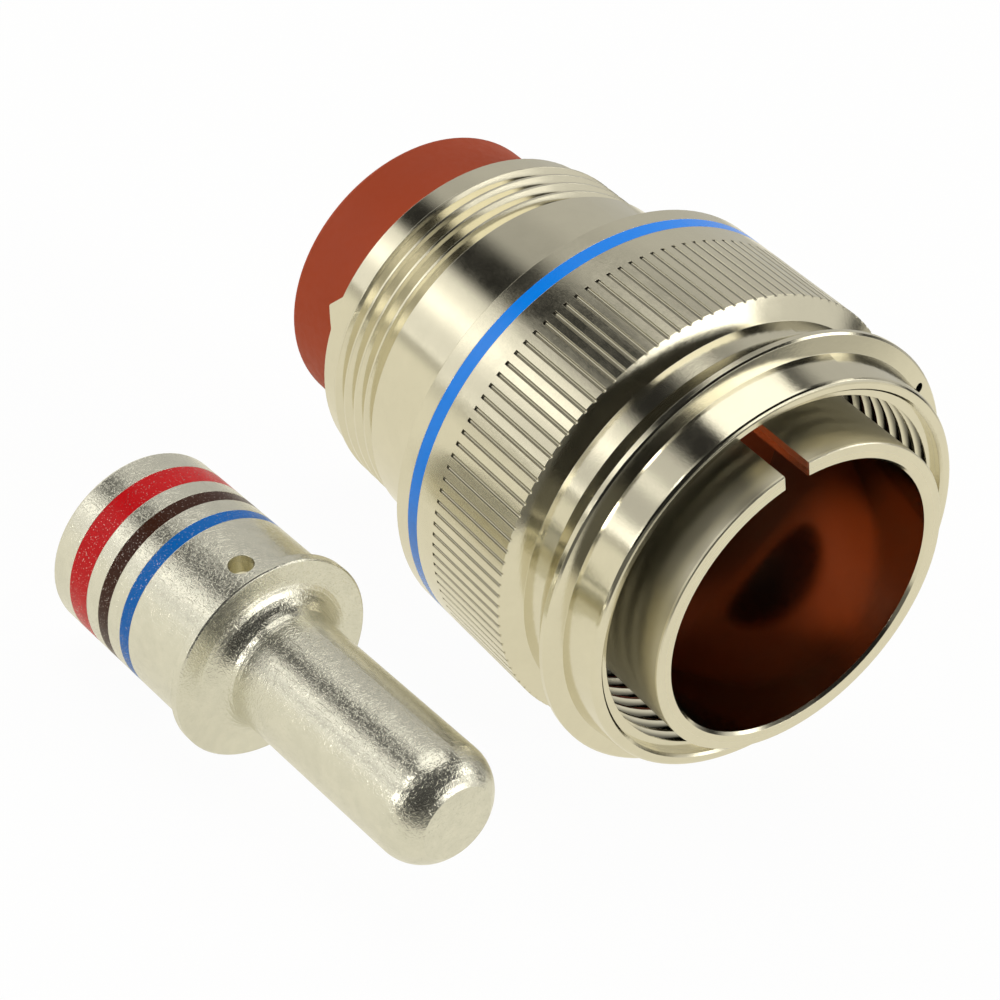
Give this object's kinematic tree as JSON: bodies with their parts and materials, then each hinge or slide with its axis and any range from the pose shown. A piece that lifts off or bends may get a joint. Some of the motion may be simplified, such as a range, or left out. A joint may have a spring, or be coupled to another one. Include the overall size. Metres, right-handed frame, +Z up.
{
  "type": "circular plug connector",
  "caption": "Threaded circular plug connector with a knurled coupling nut that spins on its shell, a keyed mating barrel, a rubber wire grommet and its loose crimp pin contact.",
  "frame": {"origin": "centre of the barrel's mating face, on the plug's axis", "axes": "+X along the plug's axis out of the mating face, +Z up as the plug lies on its nut"},
  "size_m": [0.0547, 0.0606, 0.0374],
  "materials": {
    "plated_shell": "bright nickel plate with a warm tone",
    "plated_nut": "bright nickel plate with fine turning marks",
    "interface_rubber": "matte",
    "insert_plastic": "moulded",
    "clip_metal": "bright",
    "grommet_rubber": "matte silicone",
    "seal_rubber": "matte silicone",
    "spring_steel": "bright",
    "bright_blue_paint": "gloss paint",
    "silver_plate": "silver plate with a tumbled surface",
    "red_paint": "thin ink on metal",
    "brown_paint": "thin ink on metal",
    "dark_blue_paint": "thin ink on metal"
  },
  "bodies": {
    "plug": {"plug_shell": "plated_shell", "interface_seal": "interface_rubber", "front_insert": "insert_plastic", "retention_clip": "clip_metal", "rear_insert": "insert_plastic", "wire_grommet": "grommet_rubber", "main_joint_seal": "seal_rubber", "wave_washer": "spring_steel", "pin_contact": "silver_plate", "contact_red_band": "red_paint", "contact_brown_band": "brown_paint", "contact_blue_band": "dark_blue_paint"},
    "nut": {"coupling_nut": "plated_nut", "nut_retaining_ring": "spring_steel", "nut_blue_band": "bright_blue_paint"}
  },
  "joints": [
    {"name": "nut_spin", "type": "hinge", "parent": "plug", "child": "nut", "pos_m": [-0.0145, 0, 0], "axis": [1, 0, 0], "continuous": true}
  ]
}
